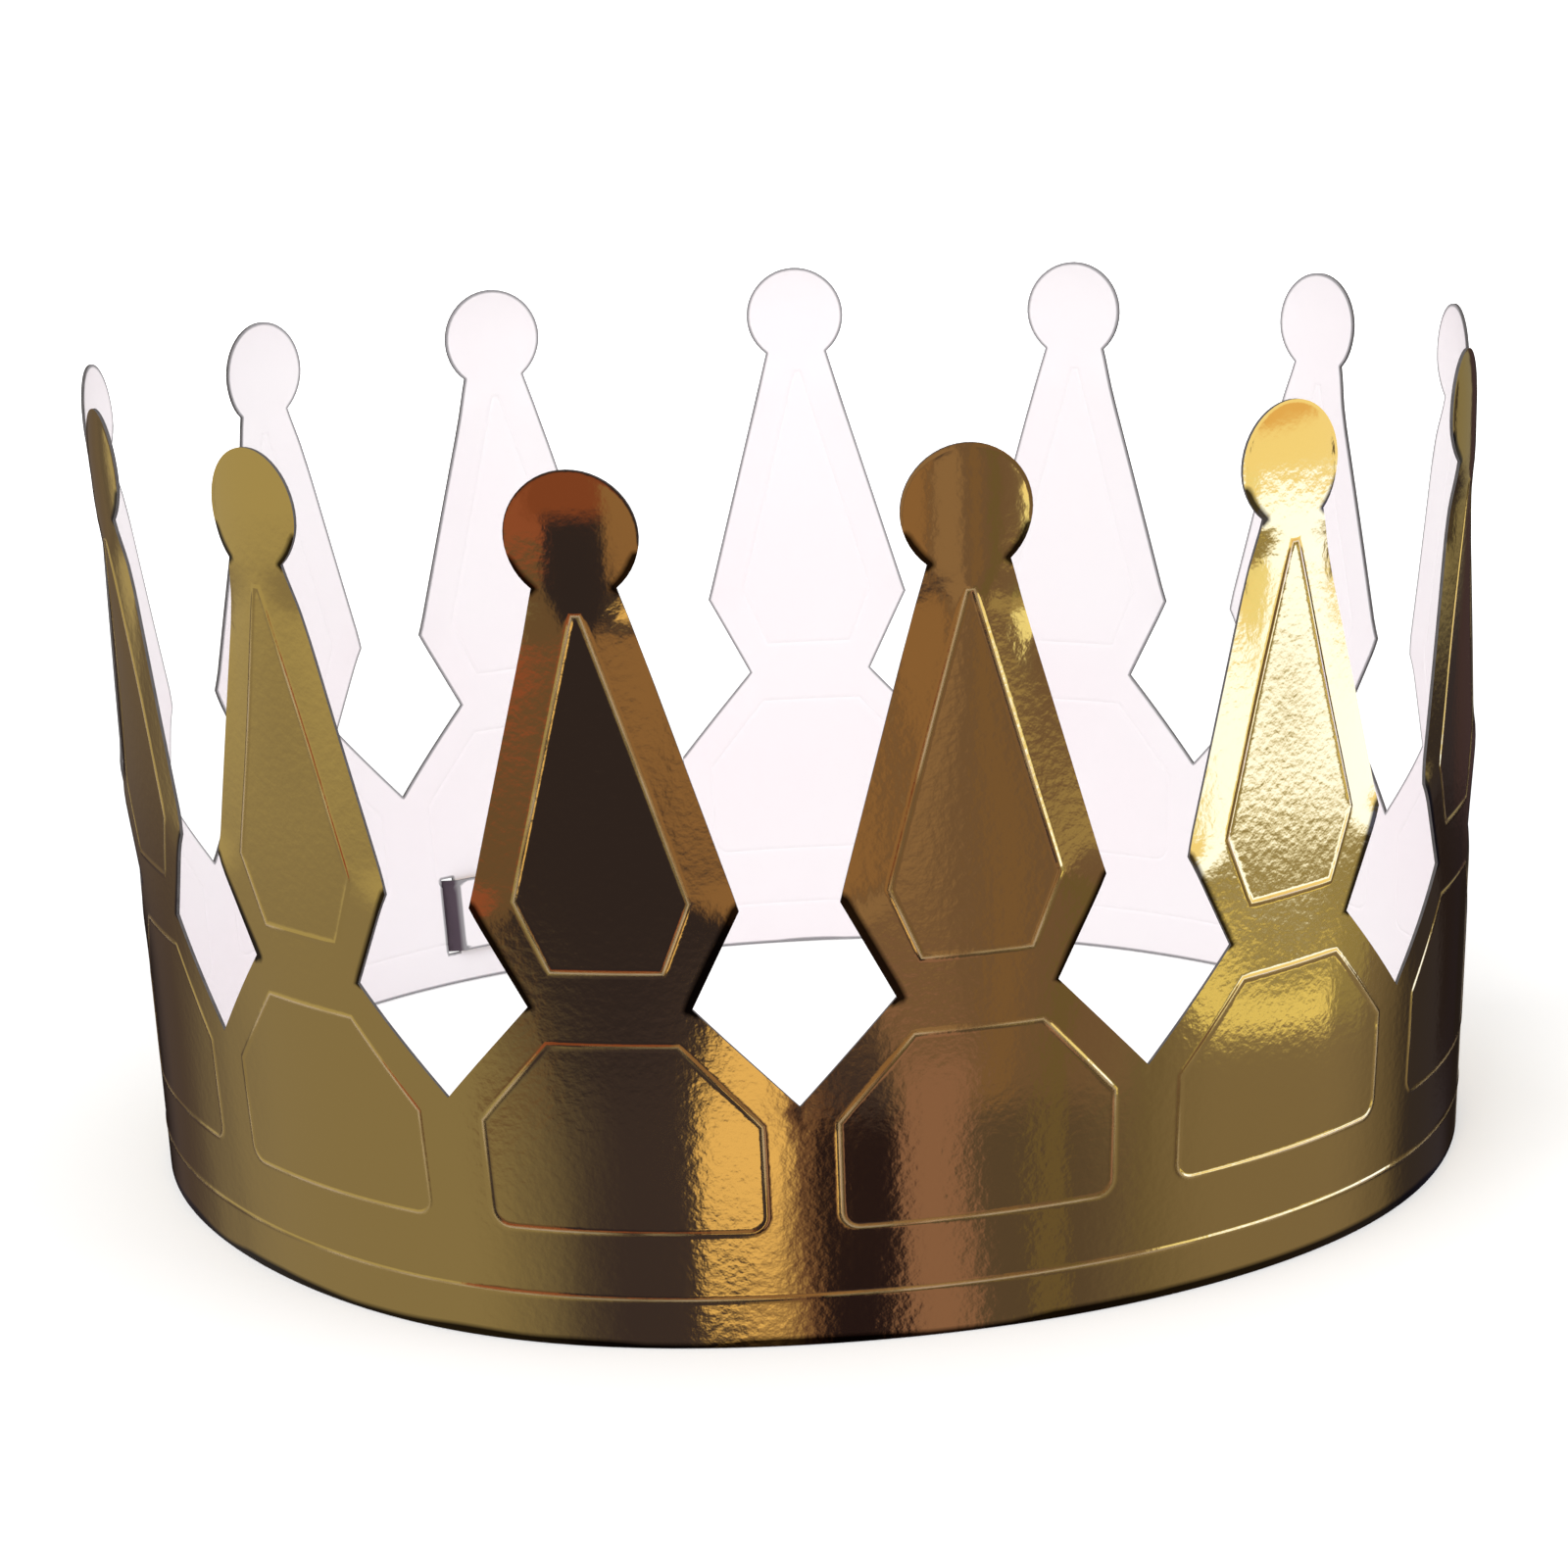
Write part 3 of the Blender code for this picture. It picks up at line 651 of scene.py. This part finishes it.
given = tree.nodes.new("NodeGroupInput").outputs


def add(kind, settings=None, **sockets):
    """A node with its settings and inputs filled; an input is a socket or a plain value."""
    node = tree.nodes.new(kind)
    for key, value in (settings or {}).items():
        setattr(node, key, value)
    for key, value in sockets.items():
        socket = node.inputs[key.replace("_", " ")]
        if isinstance(value, bpy.types.NodeSocket):
            tree.links.new(value, socket)
        else:
            socket.default_value = value
    return node


def combine(kind, operation, terms, result):
    """A calculation on sockets or plain values."""
    node = tree.nodes.new(kind)
    node.operation = operation
    for socket, term in zip(node.inputs, terms):
        if isinstance(term, bpy.types.NodeSocket):
            tree.links.new(term, socket)
        else:
            socket.default_value = term
    return node.outputs[result]


def number(operation, *terms):
    return combine("ShaderNodeMath", operation, terms, "Value")


def vector(operation, *terms):
    return combine("ShaderNodeVectorMath", operation, terms, "Vector")


def scaled(arrow, length):
    """An arrow stretched by a socket's value."""
    node = add("ShaderNodeVectorMath", {"operation": "SCALE"})
    tree.links.new(arrow, node.inputs[0])
    tree.links.new(length, node.inputs["Scale"])
    return node.outputs["Vector"]


def eased(value, start, end):
    """Rises smoothly from 0 to 1 between two values."""
    node = add("ShaderNodeMapRange", {"interpolation_type": "SMOOTHSTEP"}, Value=value,
               From_Min=start, From_Max=end)
    return node.outputs["Result"]


def blended(share, first, second):
    """A place or arrow on the way from the first to the second."""
    return vector("ADD", first, scaled(vector("SUBTRACT", second, first), share))


# Set out the flat strip
step = add("ShaderNodeCombineXYZ", X=given["Pitch"]).outputs["Vector"]
spots = add("GeometryNodeMeshLine", Count=given["Plain Points"], Start_Location=step, Offset=step)
shape = add("GeometryNodeObjectInfo", Object=given["Plain Point"]).outputs["Geometry"]
row = add("GeometryNodeInstanceOnPoints", Points=spots.outputs["Mesh"], Instance=shape)
row = add("GeometryNodeRealizeInstances", Geometry=row.outputs["Instances"]).outputs["Geometry"]
tail = add("GeometryNodeObjectInfo", Object=given["Tongue"]).outputs["Geometry"]
strip = tree.nodes.new("GeometryNodeJoinGeometry")
for piece in (tail, row, given["Geometry"]):
    tree.links.new(piece, strip.inputs["Geometry"])
strip = add("GeometryNodeMergeByDistance", Geometry=strip.outputs["Geometry"],
            Distance=JOIN_DISTANCE)
flat = add("ShaderNodeSeparateXYZ", Vector=add("GeometryNodeInputPosition").outputs["Position"])
run, height = flat.outputs["X"], flat.outputs["Z"]
strip = add("GeometryNodeStoreNamedAttribute", {"data_type": "FLOAT2", "domain": "CORNER"},
            Geometry=strip.outputs["Geometry"], Name="sheet",
            Value=add("ShaderNodeCombineXYZ", X=run, Y=height).outputs["Vector"])

# Find each spot's place on the ring, and its point's own axis
ring = add("GeometryNodeObjectInfo", Object=given["Ring Line"]).outputs["Geometry"]
ring = add("GeometryNodeMeshToCurve", Mesh=ring).outputs["Curve"]


def ring_sample(length, label):
    """Position on the ring, direction along it and out of it, and a named value stored along it."""
    stored = add("GeometryNodeInputNamedAttribute", {"data_type": "FLOAT"}, Name=label)
    length = number("FLOORED_MODULO", length, given["Ring Girth"])
    node = add("GeometryNodeSampleCurve", {"mode": "LENGTH", "data_type": "FLOAT"}, Curves=ring,
               Value=stored.outputs["Attribute"], Length=length)
    along_ring = node.outputs["Tangent"]
    out_of_ring = vector("CROSS_PRODUCT", along_ring, (0, 0, 1))
    return node.outputs["Position"], along_ring, out_of_ring, node.outputs["Value"]


index = number("FLOOR", number("DIVIDE", run, given["Pitch"]))
index = number("MINIMUM", number("MAXIMUM", index, 0.0), given["Plain Points"])
axis_run = number("MULTIPLY", number("ADD", index, 0.5), given["Pitch"])
spot, _, out, lean = ring_sample(run, "band_lean")
axis_spot, axis_along, axis_out, point_lean = ring_sample(axis_run, "point_lean")

# Above the valleys a point is stiffer than the band, and bends about its root to its own lean
above = number("MAXIMUM", number("SUBTRACT", height, given["Valley Height"]), 0.0)
stiff = number("MULTIPLY", eased(above, 0.0, given["Shoulder Rise"]), given["Point Flatness"])
level_spot = vector("ADD", axis_spot, scaled(axis_along, number("SUBTRACT", run, axis_run)))
spot = blended(stiff, spot, level_spot)
out = vector("NORMALIZE", blended(stiff, out, axis_out))
half_bend = number("MULTIPLY", given["Root Bend Height"], 0.5)
over_foot = number("SUBTRACT", height, number("SUBTRACT", given["Valley Height"], half_bend))
bent = number("DIVIDE", over_foot, given["Root Bend Height"])
bent = number("MINIMUM", number("MAXIMUM", bent, 0.0), 1.0)
# Summed over the bend, a smooth step from the band's lean to the point's is t^3 - t^4 / 2
cube = number("POWER", bent, 3.0)
eased_rise = number("SUBTRACT", cube, number("MULTIPLY", number("MULTIPLY", cube, bent), 0.5))
past = number("MAXIMUM", number("SUBTRACT", over_foot, given["Root Bend Height"]), 0.0)
upper_rise = number("ADD", number("MULTIPLY", eased_rise, given["Root Bend Height"]), past)
lower_rise = number("SUBTRACT", height, upper_rise)
level = number("ADD", number("MULTIPLY", number("COSINE", lean), lower_rise),
               number("MULTIPLY", number("COSINE", point_lean), upper_rise))
leaned_out = number("MULTIPLY", number("SINE", point_lean), upper_rise)
spot = vector("ADD", spot, scaled(axis_out, leaned_out))

# The tongue's end runs a layer inside the lap and the first panel, then comes out by the slit
lift = add("GeometryNodeInputNamedAttribute", {"data_type": "FLOAT"}, Name="lift")
lift = lift.outputs["Attribute"]
crossed = number("MULTIPLY", eased(run, given["Crossing Start"], given["Crossing End"]), 2.0)
layer = number("SUBTRACT", crossed, eased(run, given["Step Start"], given["Step End"]))
outward = number("ADD", number("MULTIPLY", number("SINE", lean), lower_rise),
                 number("ADD", lift, number("MULTIPLY", layer, given["Layer Step"])))
outward = number("ADD", outward, number("MULTIPLY", given["Card Thickness"], 0.5))
place = vector("ADD", vector("ADD", spot, scaled(out, outward)),
               add("ShaderNodeCombineXYZ", Z=level).outputs["Vector"])
foil_face = add("GeometryNodeSetPosition", Geometry=strip.outputs["Geometry"], Position=place)
foil_face = foil_face.outputs["Geometry"]

# Give it the card's thickness, then its finishes and sharp cut edges
inner = add("GeometryNodeExtrudeMesh", {"mode": "FACES"}, Mesh=foil_face, Individual=False,
            Offset_Scale=number("MULTIPLY", given["Card Thickness"], -1.0))
turned = add("GeometryNodeFlipFaces", Mesh=inner.outputs["Mesh"]).outputs["Mesh"]
shell = tree.nodes.new("GeometryNodeJoinGeometry")
for piece in (turned, foil_face):
    tree.links.new(piece, shell.inputs["Geometry"])
shell = add("GeometryNodeMergeByDistance", Geometry=shell.outputs["Geometry"],
            Distance=SHELL_JOIN_DISTANCE)
shell = add("GeometryNodeSetShadeSmooth", {"domain": "FACE"}, Geometry=shell.outputs["Geometry"],
            Shade_Smooth=True)
edge_angle = add("GeometryNodeInputMeshEdgeAngle").outputs["Unsigned Angle"]
corner = number("LESS_THAN", edge_angle, SHARP_ANGLE)
shell = add("GeometryNodeSetShadeSmooth", {"domain": "EDGE"}, Geometry=shell.outputs["Geometry"],
            Shade_Smooth=corner)
shell = add("GeometryNodeRealizeInstances", Geometry=shell.outputs["Geometry"])
shell = add("GeometryNodeSetMaterial", Geometry=shell.outputs["Geometry"], Material=given["Foil"])
for faces, finish in (("Top", "Card"), ("Side", "Cut Edge")):
    shell = add("GeometryNodeSetMaterial", Geometry=shell.outputs["Geometry"],
                Selection=inner.outputs[faces], Material=given[finish])
tree.links.new(shell.outputs["Geometry"], tree.nodes.new("NodeGroupOutput").inputs["Geometry"])

modifier = first_point.modifiers.new("bent_strip", "NODES")
modifier.node_group = tree
for item in tree.interface.items_tree:
    if item.in_out == "INPUT" and item.name in INPUTS:
        modifier[item.identifier] = INPUTS[item.name][1]
evaluated = first_point.evaluated_get(bpy.context.evaluated_depsgraph_get())
crown_mesh = bpy.data.meshes.new_from_object(evaluated)
first_point.modifiers.remove(modifier)
crown_mesh.name = "foil_crown"
crown = bpy.data.objects.new("foil_crown", crown_mesh)
bpy.context.scene.collection.objects.link(crown)
for leftover in (first_point, plain_point, tongue, ring_line):
    bpy.data.objects.remove(leftover)

# Set it where the solid crown stands
low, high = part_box("crown_strip")
corners = np.zeros(len(crown_mesh.vertices) * 3)
crown_mesh.vertices.foreach_get("co", corners)
corners = corners.reshape(-1, 3)
shift = (np.array(low) + np.array(high) - corners.min(0) - corners.max(0)) / 2
shift[2] = low[2] - corners[:, 2].min()
crown_mesh.transform(Matrix.Translation(shift))
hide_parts("crown_strip")
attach(crown, "root")

# Floor
# A plain pale table under the crown, bright enough to meet the white surroundings without an edge.
FLOOR_SIZE = 16.0
FLOOR_COLOR, FLOOR_ROUGHNESS = (0.90, 0.90, 0.90, 1.0), 0.9
FLOOR_DROP = 0.0001
# From under the crown outwards the camera sees more and more of an even white in the floor
WHITE_START, WHITE_END = 0.15, 0.9
WHITE_LEAST, WHITE_MOST = 0.17, 1.0

floor_mesh = bpy.data.meshes.new("floor")
half = FLOOR_SIZE / 2
corners = [(-half, -half, 0), (half, -half, 0), (half, half, 0), (-half, half, 0)]
floor_mesh.from_pydata(corners, [], [(0, 1, 2, 3)])
floor = bpy.data.objects.new("floor", floor_mesh)
bpy.context.scene.collection.objects.link(floor)
floor.location.z = -FLOOR_DROP
floor_paint, nodes, links, shader = new_material("floor_paint", FLOOR_COLOR, FLOOR_ROUGHNESS, 0.0)
shader.inputs["Specular IOR Level"].default_value = 0.0
rays = nodes.new("ShaderNodeLightPath")
glow = nodes.new("ShaderNodeEmission")
distance = nodes.new("ShaderNodeVectorMath")
distance.operation = "LENGTH"
links.new(nodes.new("ShaderNodeTexCoord").outputs["Object"], distance.inputs[0])
spread = nodes.new("ShaderNodeMapRange")
spread.interpolation_type = "SMOOTHSTEP"
for label, value in (("From Min", WHITE_START), ("From Max", WHITE_END), ("To Min", WHITE_LEAST),
                     ("To Max", WHITE_MOST)):
    spread.inputs[label].default_value = value
links.new(distance.outputs["Value"], spread.inputs["Value"])
seen = add_math(nodes, links, "MULTIPLY", spread.outputs["Result"], rays.outputs["Is Camera Ray"])
links.new(seen, glow.inputs["Strength"])
both = nodes.new("ShaderNodeAddShader")
links.new(shader.outputs["BSDF"], both.inputs[0])
links.new(glow.outputs["Emission"], both.inputs[1])
links.new(both.outputs["Shader"], nodes["Material Output"].inputs["Surface"])
floor_mesh.materials.append(floor_paint)
floor.visible_glossy = False

# Surroundings
# White to the camera, and an even soft light on everything else.
SOFT_LIGHT = 0.93

world = bpy.context.scene.world or bpy.data.worlds.new("world")
bpy.context.scene.world = world
world.use_nodes = True
nodes, links = world.node_tree.nodes, world.node_tree.links
nodes.clear()
rays = nodes.new("ShaderNodeLightPath")
clear = rays.outputs["Is Camera Ray"]
for label in ("Is Glossy Ray", "Is Transmission Ray"):
    clear = add_math(nodes, links, "MAXIMUM", clear, rays.outputs[label])
choice = nodes.new("ShaderNodeMixShader")
links.new(clear, choice.inputs[0])
for socket, strength in zip(choice.inputs[1:], (SOFT_LIGHT, 1.0)):
    light = nodes.new("ShaderNodeBackground")
    light.inputs["Color"].default_value = (1.0, 1.0, 1.0, 1.0)
    light.inputs["Strength"].default_value = strength
    links.new(light.outputs["Background"], socket)
links.new(choice.outputs["Shader"], nodes.new("ShaderNodeOutputWorld").inputs["Surface"])

# Reflection tent
# The foil mirrors what stands round the table, so a tent of painted panels hangs there: a grey
# wall on the left, a dark gap with one bright strip in front, warm wood to the right of it and a
# soft box high on the right. The camera and the matt surfaces don't see it.
TENT_RADIUS = 3.0
TENT_STEP = 1.0
TENT_BASE = (0.10, 0.085, 0.08)
# Each panel: middle and half-width of azimuth from the front, of elevation, edge softness, color
PANELS = [
    ((0, 180), (40, 26), 14, (0.45, 0.41, 0.37)),
    ((180, 42), (-20, 70), 10, (0.018, 0.013, 0.012)),
    ((180, 44), (-58, 31), 5, (0.19, 0.165, 0.14)),
    ((174, 12.5), (-20, 60), 4, (0.24, 0.21, 0.18)),
    ((173.5, 20), (30, 32), 6, (0.34, 0.30, 0.24)),
    ((-141, 13), (-20, 60), 16, (0.074, 0.058, 0.064)),
    ((-145, 12), (0, 14), 6, (0.14, 0.115, 0.105)),
    ((131, 15), (-20, 60), 13, (0.036, 0.032, 0.05)),
    ((132, 11), (2.5, 13), 3, (0.24, 0.23, 0.19)),
    ((150, 7), (-2, 13), 2, (0.055, 0.036, 0.045)),
    ((143, 8), (-17.5, 3), 2, (0.02, 0.015, 0.02)),
    ((-14, 36), (-20, 40), 10, (0.045, 0.038, 0.085)),
    ((-84, 41), (-20, 50), 36, (0.255, 0.240, 0.250)),
    ((-86, 38), (14, 28), 9, (0.40, 0.385, 0.34)),
    ((-46, 10), (-14, 13), 4, (0.14, 0.100, 0.11)),
    ((-24, 15), (-14, 13), 4, (0.030, 0.026, 0.062)),
    ((-47, 10.5), (0.2, 17.5), 4, (0.28, 0.10, 0.10)),
    ((-22, 22), (10, 20), 8, (0.22, 0.075, 0.07)),
    ((0, 11), (-4, 18), 6, (0.27, 0.17, 0.15)),
    ((4, 4), (-46, 20), 3, (0.17, 0.10, 0.12)),
    ((-2.5, 4.2), (-42, 8), 4, (0.25, 0.18, 0.15)),
    ((-2.5, 4.2), (-31, 4.8), 3, (0.45, 0.33, 0.27)),
    ((-6.5, 6), (-31.2, 2.9), 2.5, (0.86, 0.65, 0.46)),
    ((11, 6), (-48, 20), 4, (0.018, 0.012, 0.03)),
    ((36, 16), (-20, 50), 5, (0.098, 0.080, 0.110)),
    ((33, 19), (-6, 22), 5, (0.165, 0.118, 0.145)),
    ((18, 6), (-4, 15), 4, (0.27, 0.19, 0.20)),
    ((30, 2), (-6, 22), 2, (0.20, 0.135, 0.13)),
    ((38, 2), (-20, 40), 2, (0.15, 0.125, 0.11)),
    ((21.5, 5), (-38.5, 16.5), 4, (0.27, 0.168, 0.23)),
    ((80, 26), (-30, 50), 30, (0.215, 0.190, 0.205)),
    ((76, 24), (-12, 9), 3, (0.30, 0.285, 0.22)),
    ((76, 14), (-20.2, 1.5), 1.5, (0.85, 0.82, 0.55)),
    ((79, 28), (-3, 9.5), 3, (1.0, 0.98, 0.90)),
    ((79, 28), (-12.0, 3.2), 1.3, (0.95, 1.0, 0.95)),
    ((49, 7), (-15.6, 1.7), 2, (0.36, 0.31, 0.26)),
    ((83, 23), (-12.1, 2.7), 1.2, (1.3, 1.7, 4.0)),
    ((78, 18), (12, 9), 6, (0.85, 0.62, 0.40)),
]


def panel_cover(azimuths, elevations, panel):
    """How much of each direction a panel covers, from 0 to 1 across its soft edge."""
    (middle, half_width), (height, half_height), soft_edge, _ = panel
    sideways = abs((azimuths - middle + 180) % 360 - 180)
    cover = smooth((half_width - sideways) / soft_edge + 0.5)
    return cover * smooth((half_height - abs(elevations - height)) / soft_edge + 0.5)


turns, rows = round(360 / TENT_STEP), round(180 / TENT_STEP)
row, column = np.divmod(np.arange((rows + 1) * turns), turns)
azimuths, elevations = column * TENT_STEP - 180, 90 - row * TENT_STEP
bearing, rise = np.radians(azimuths), np.radians(elevations)
spots = np.stack((np.cos(rise) * np.sin(bearing), -np.cos(rise) * np.cos(bearing), np.sin(rise)), 1)
spots = TENT_RADIUS * spots
paint = np.ones((len(spots), 4))
paint[:, :3] = TENT_BASE
for panel in PANELS:
    cover = panel_cover(azimuths, elevations, panel)[:, None]
    paint[:, :3] = paint[:, :3] * (1 - cover) + np.array(panel[3]) * cover
first = np.arange(rows * turns)
beside = first - first % turns + (first + 1) % turns
faces = np.stack((first, beside, beside + turns, first + turns), 1)
tent_mesh = bpy.data.meshes.new("reflection_tent")
tent_mesh.from_pydata(spots.tolist(), [], faces.tolist())
painted = tent_mesh.attributes.new("paint", "FLOAT_COLOR", "POINT")
painted.data.foreach_set("color", paint.astype(np.float32).ravel())
tent = bpy.data.objects.new("reflection_tent", tent_mesh)
bpy.context.scene.collection.objects.link(tent)
tent_paint = bpy.data.materials.new("tent_paint")
tent_paint.use_nodes = True
nodes, links = tent_paint.node_tree.nodes, tent_paint.node_tree.links
nodes.clear()
panels = nodes.new("ShaderNodeAttribute")
panels.attribute_name = "paint"
glow = nodes.new("ShaderNodeEmission")
links.new(panels.outputs["Color"], glow.inputs["Color"])
links.new(glow.outputs["Emission"], nodes.new("ShaderNodeOutputMaterial").inputs["Surface"])
tent_mesh.materials.append(tent_paint)
for ray in ("camera", "diffuse", "transmission", "volume_scatter", "shadow"):
    setattr(tent, "visible_" + ray, False)

# Lamps
# One broad soft lamp above the front left and a weaker one on the right. Each: place, size, power.
LAMPS = {
    "key_lamp": ((-0.7, -0.9, 1.6), 1.2, 11.0),
    "fill_lamp": ((1.2, -0.6, 1.0), 1.0, 4.0),
}
LAMP_TARGET = (0, 0, 0.05)


def add_lamp(name, place, size, power):
    """A soft square lamp that looks at the crown and isn't mirrored in it."""
    lamp = bpy.data.lights.new(name, "AREA")
    lamp.size, lamp.energy = size, power
    holder = bpy.data.objects.new(name, lamp)
    bpy.context.scene.collection.objects.link(holder)
    holder.location = place
    aim = Vector(LAMP_TARGET) - Vector(place)
    holder.rotation_euler = aim.to_track_quat("-Z", "Y").to_euler()
    holder.visible_glossy = False


for name, (place, size, power) in LAMPS.items():
    add_lamp(name, place, size, power)

# Camera
# Stands a little over half a metre from the crown and looks down on it.
CAMERA_PLACE = (-0.001186, -0.538841, 0.193256)
CAMERA_PITCH = math.radians(14.66)
CAMERA_ROLL = math.radians(-2.69)
CAMERA_LENS, CAMERA_SENSOR = 83.15, 36.0
CAMERA_NEAR = 0.01

camera_data = bpy.data.cameras.new("camera")
camera_data.sensor_width = CAMERA_SENSOR
camera_data.lens = CAMERA_LENS
camera_data.clip_start = CAMERA_NEAR
camera = bpy.data.objects.new("camera", camera_data)
bpy.context.scene.collection.objects.link(camera)
ahead = Vector((0, math.cos(CAMERA_PITCH), -math.sin(CAMERA_PITCH)))
level_up = Vector((1, 0, 0)).cross(ahead)
right = math.cos(CAMERA_ROLL) * Vector((1, 0, 0)) + math.sin(CAMERA_ROLL) * level_up
up = math.cos(CAMERA_ROLL) * level_up - math.sin(CAMERA_ROLL) * Vector((1, 0, 0))
camera.matrix_world = Matrix((right, up, -ahead)).transposed().to_4x4()
camera.location = CAMERA_PLACE
bpy.context.scene.camera = camera
bpy.context.scene.view_settings.view_transform = "Standard"
